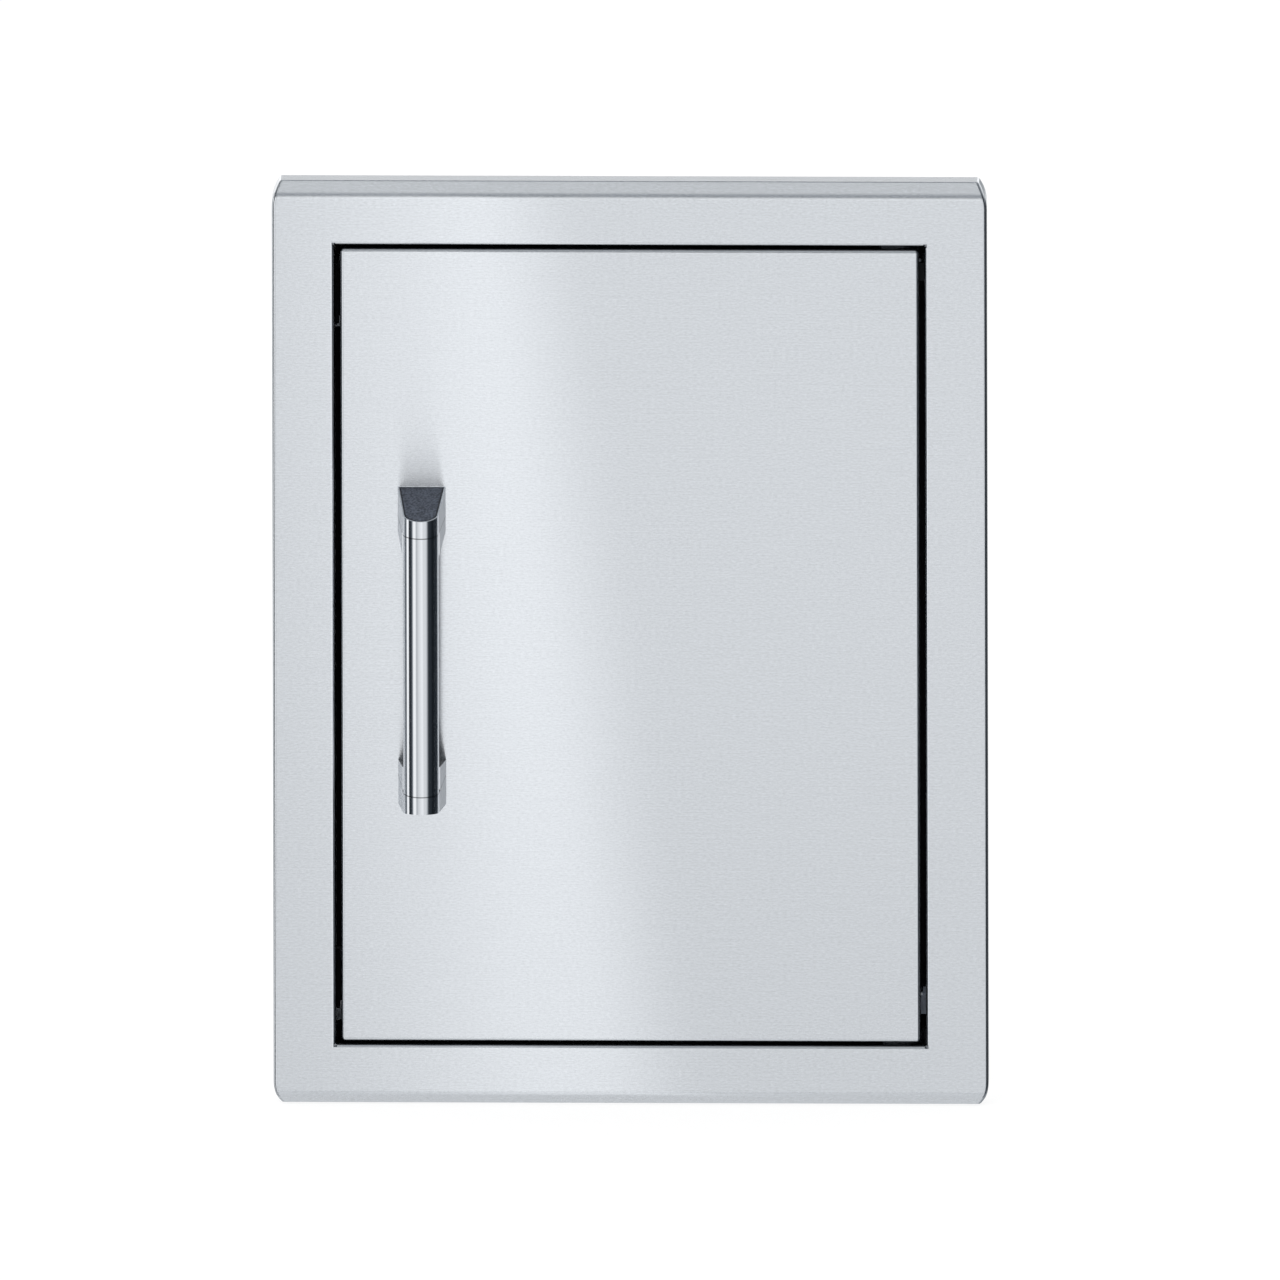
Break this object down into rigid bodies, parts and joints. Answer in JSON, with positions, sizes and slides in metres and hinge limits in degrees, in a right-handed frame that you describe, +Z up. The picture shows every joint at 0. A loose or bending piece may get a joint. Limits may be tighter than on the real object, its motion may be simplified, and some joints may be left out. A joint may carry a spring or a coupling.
{
  "type": "outdoor kitchen access door",
  "caption": "Right-hinged access door with a bar handle in a bevelled surface frame, for a cut-out in an outdoor kitchen island; brushed stainless steel with magnetic catches.",
  "frame": {"origin": "middle of the wall cut-out, on the wall face that the frame's rear lip rests against", "axes": "+Z up, +Y into the wall; the door and its handle face -Y, and +X is on the right of a viewer who faces the door"},
  "size_m": [0.508, 0.106, 0.686],
  "materials": {
    "brushed_stainless": "fine horizontal brushing",
    "plain_stainless": "plain mill finish",
    "hinge_stainless": "tumbled",
    "polished_stainless": "mirror polished stainless steel",
    "zinc_plated_steel": "zinc plated",
    "aluminium_rivet": "plain",
    "ferrite": "sintered, matt",
    "dark_insert": "fine matt texture, dark slate",
    "catch_plastic": "fine grain",
    "washer_plastic": "smooth",
    "plug_plastic": "smooth",
    "clear_rubber": "soft, translucent grey",
    "black_foam": "closed-cell foam, matt black"
  },
  "bodies": {
    "frame": {"face_frame": "brushed_stainless", "top_stop": "plain_stainless", "bottom_stop": "plain_stainless", "latch_stop": "plain_stainless", "bumpers": "clear_rubber", "top_seal": "black_foam", "bottom_seal": "black_foam", "latch_seal": "black_foam", "hinge_seal": "black_foam", "upper_catch_housing": "catch_plastic", "lower_catch_housing": "catch_plastic", "upper_catch_magnet": "ferrite", "lower_catch_magnet": "ferrite", "upper_catch_pole_plates": "zinc_plated_steel", "lower_catch_pole_plates": "zinc_plated_steel", "catch_screws": "zinc_plated_steel", "upper_hinge_strap": "hinge_stainless", "lower_hinge_strap": "hinge_stainless", "hinge_strap_screws": "zinc_plated_steel", "upper_hinge_nut_plate": "hinge_stainless", "lower_hinge_nut_plate": "hinge_stainless"},
    "door": {"door_skin": "brushed_stainless", "door_liner": "plain_stainless", "door_stiffener": "plain_stainless", "upper_strike_plate": "zinc_plated_steel", "lower_strike_plate": "zinc_plated_steel", "strike_rivets": "aluminium_rivet", "handle_tube": "polished_stainless", "upper_handle_post": "polished_stainless", "lower_handle_post": "polished_stainless", "upper_handle_end_insert": "dark_insert", "lower_handle_end_insert": "dark_insert", "handle_screws": "hinge_stainless", "handle_washers": "hinge_stainless", "liner_plugs": "plug_plastic", "upper_hinge_bracket": "hinge_stainless", "lower_hinge_bracket": "hinge_stainless", "upper_hinge_pin": "hinge_stainless", "lower_hinge_pin": "hinge_stainless", "hinge_pin_clips": "hinge_stainless", "hinge_thrust_washers": "washer_plastic"}
  },
  "joints": [
    {"name": "door_hinge", "type": "hinge", "parent": "frame", "child": "door", "pos_m": [0.1982, -0.0122, 0], "axis": [0, 0, 1], "range_deg": [0, 100]}
  ]
}
